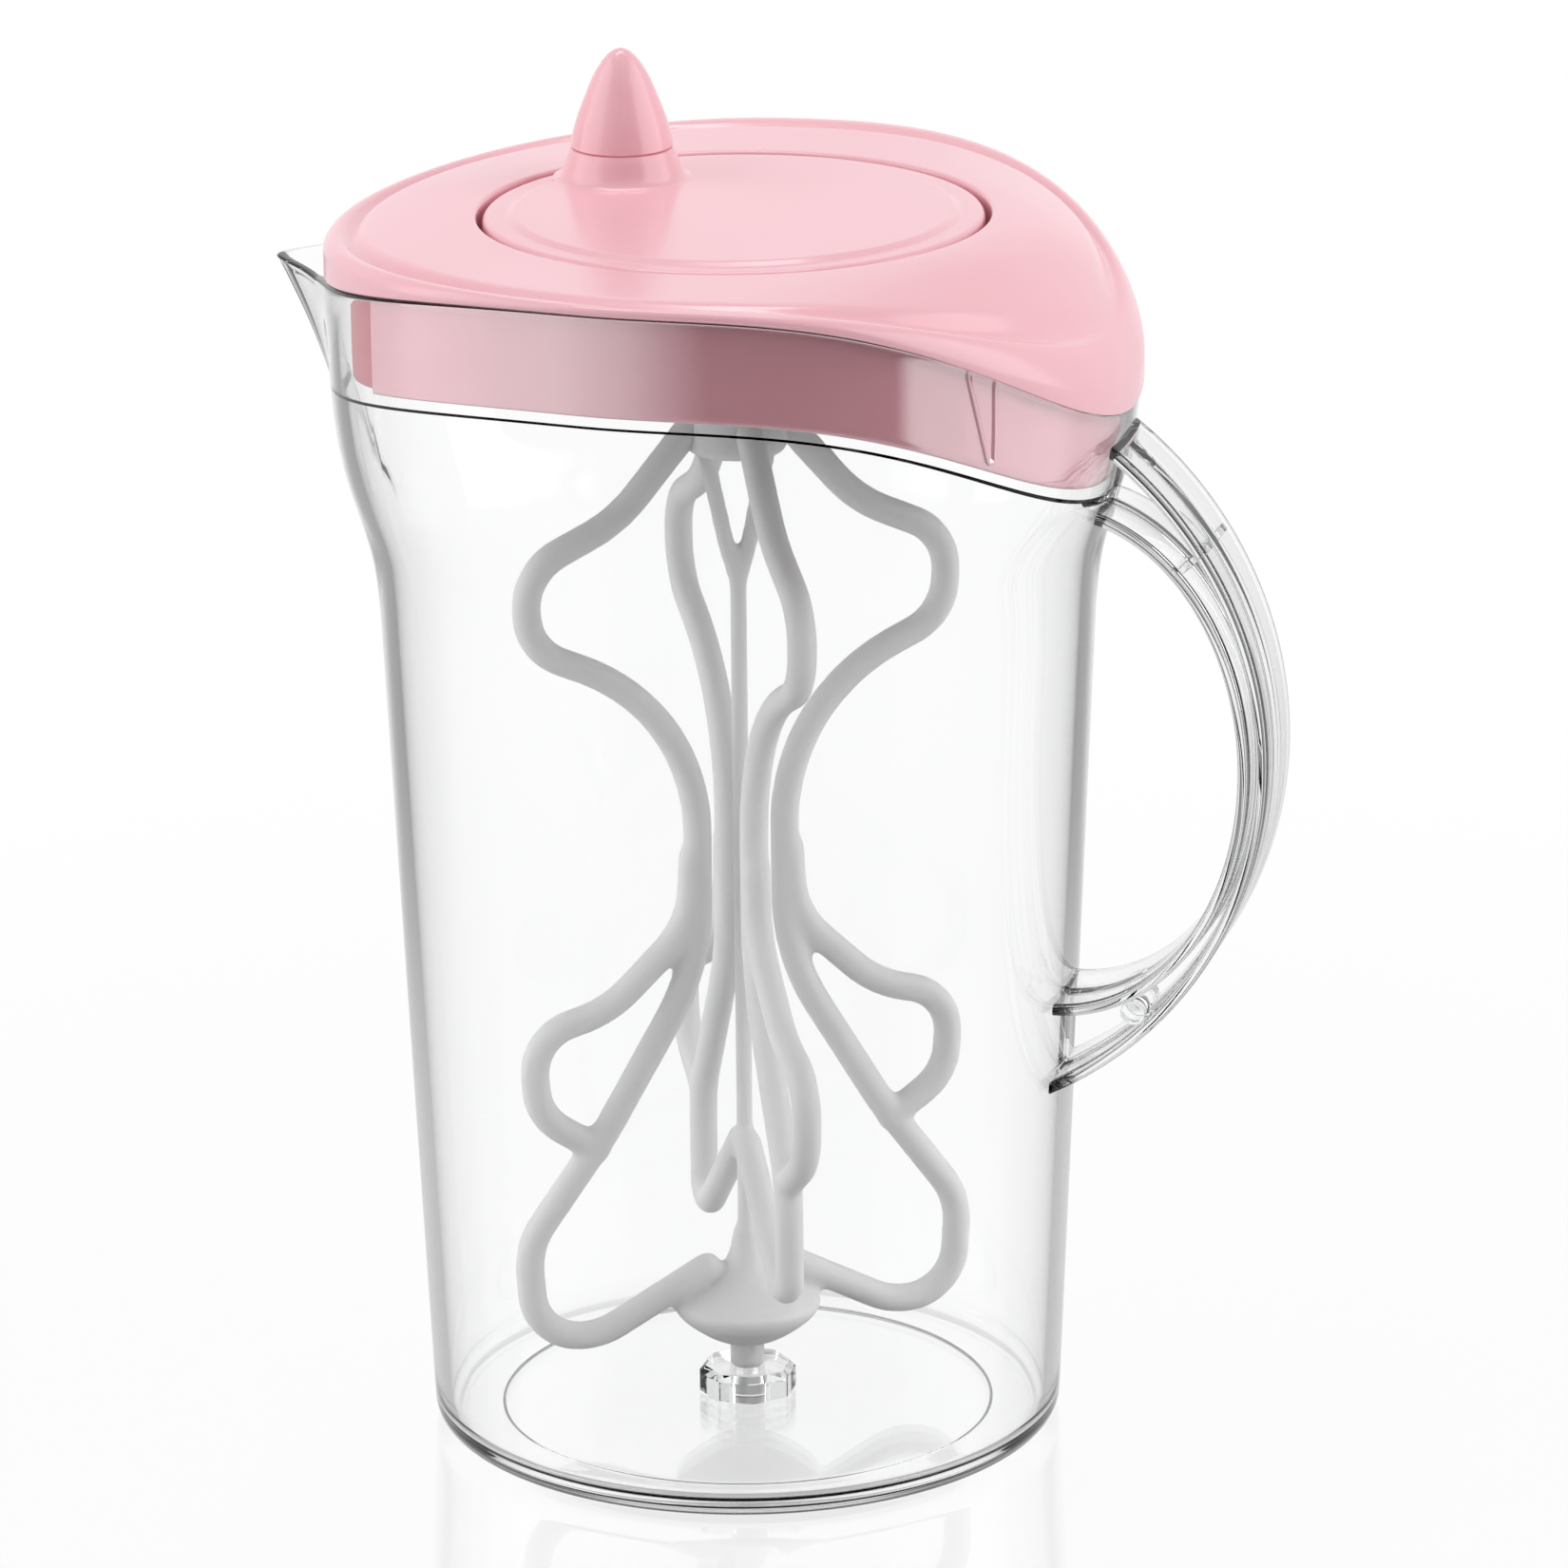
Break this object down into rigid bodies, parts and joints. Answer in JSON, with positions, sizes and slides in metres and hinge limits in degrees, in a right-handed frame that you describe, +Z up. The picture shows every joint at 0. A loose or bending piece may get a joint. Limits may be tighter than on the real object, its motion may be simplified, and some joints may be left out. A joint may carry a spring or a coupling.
{
  "type": "formula mixing pitcher",
  "caption": "Clear pitcher with a side handle, a sloping lid with a hand crank, and a bent-rod stirrer inside for mixing infant formula.",
  "frame": {"origin": "on the jug's axis at the foot it stands on", "axes": "+Z up along the jug's axis, +X towards the handle, the spout on the -X side"},
  "size_m": [0.1705, 0.1346, 0.2317],
  "materials": {
    "clear_wall": "clear, polished",
    "clear_handle": "clear, polished",
    "pink_lid": "pastel pink, satin gloss",
    "pink_crank": "pastel pink, satin gloss",
    "white_drive": "natural white",
    "frosted_stirrer": "frosted, translucent white"
  },
  "bodies": {
    "jug": {"jug_shell": "clear_wall", "pin_socket": "clear_wall", "handle_outer_strap": "clear_handle", "handle_inner_strap": "clear_handle", "handle_web": "clear_handle", "handle_ribs": "clear_handle", "handle_pegs": "clear_handle"},
    "lid": {"lid_cover": "pink_lid", "lid_skirt": "pink_lid", "pour_guard": "pink_lid", "lid_catch": "pink_lid", "crank_well": "pink_lid"},
    "crank": {"crank_disc": "pink_crank", "knob_pedestal": "pink_crank", "crank_knob": "pink_crank", "drive_spindle": "white_drive", "retaining_clip": "white_drive"},
    "stirrer": {"pivot_pin": "frosted_stirrer", "stirrer_hub": "frosted_stirrer", "drive_head": "frosted_stirrer", "centre_shaft": "frosted_stirrer", "shaft_fork": "frosted_stirrer", "blade_handle_side": "frosted_stirrer", "blade_back": "frosted_stirrer", "blade_spout_side": "frosted_stirrer", "blade_front": "frosted_stirrer"}
  },
  "joints": [
    {"name": "lid_lift", "type": "slide", "parent": "jug", "child": "lid", "axis": [0, 0, 1], "range_m": [0, 0.05]},
    {"name": "crank_spin", "type": "hinge", "parent": "lid", "child": "crank", "pos_m": [0, 0, 0.2], "axis": [0, 0, 1], "continuous": true},
    {"name": "stirrer_spin", "type": "hinge", "parent": "jug", "child": "stirrer", "pos_m": [0, 0, 0.005], "axis": [0, 0, 1], "continuous": true}
  ],
  "couplings": [
    {"joint": "stirrer_spin", "follows": "crank_spin", "ratio": 1}
  ]
}
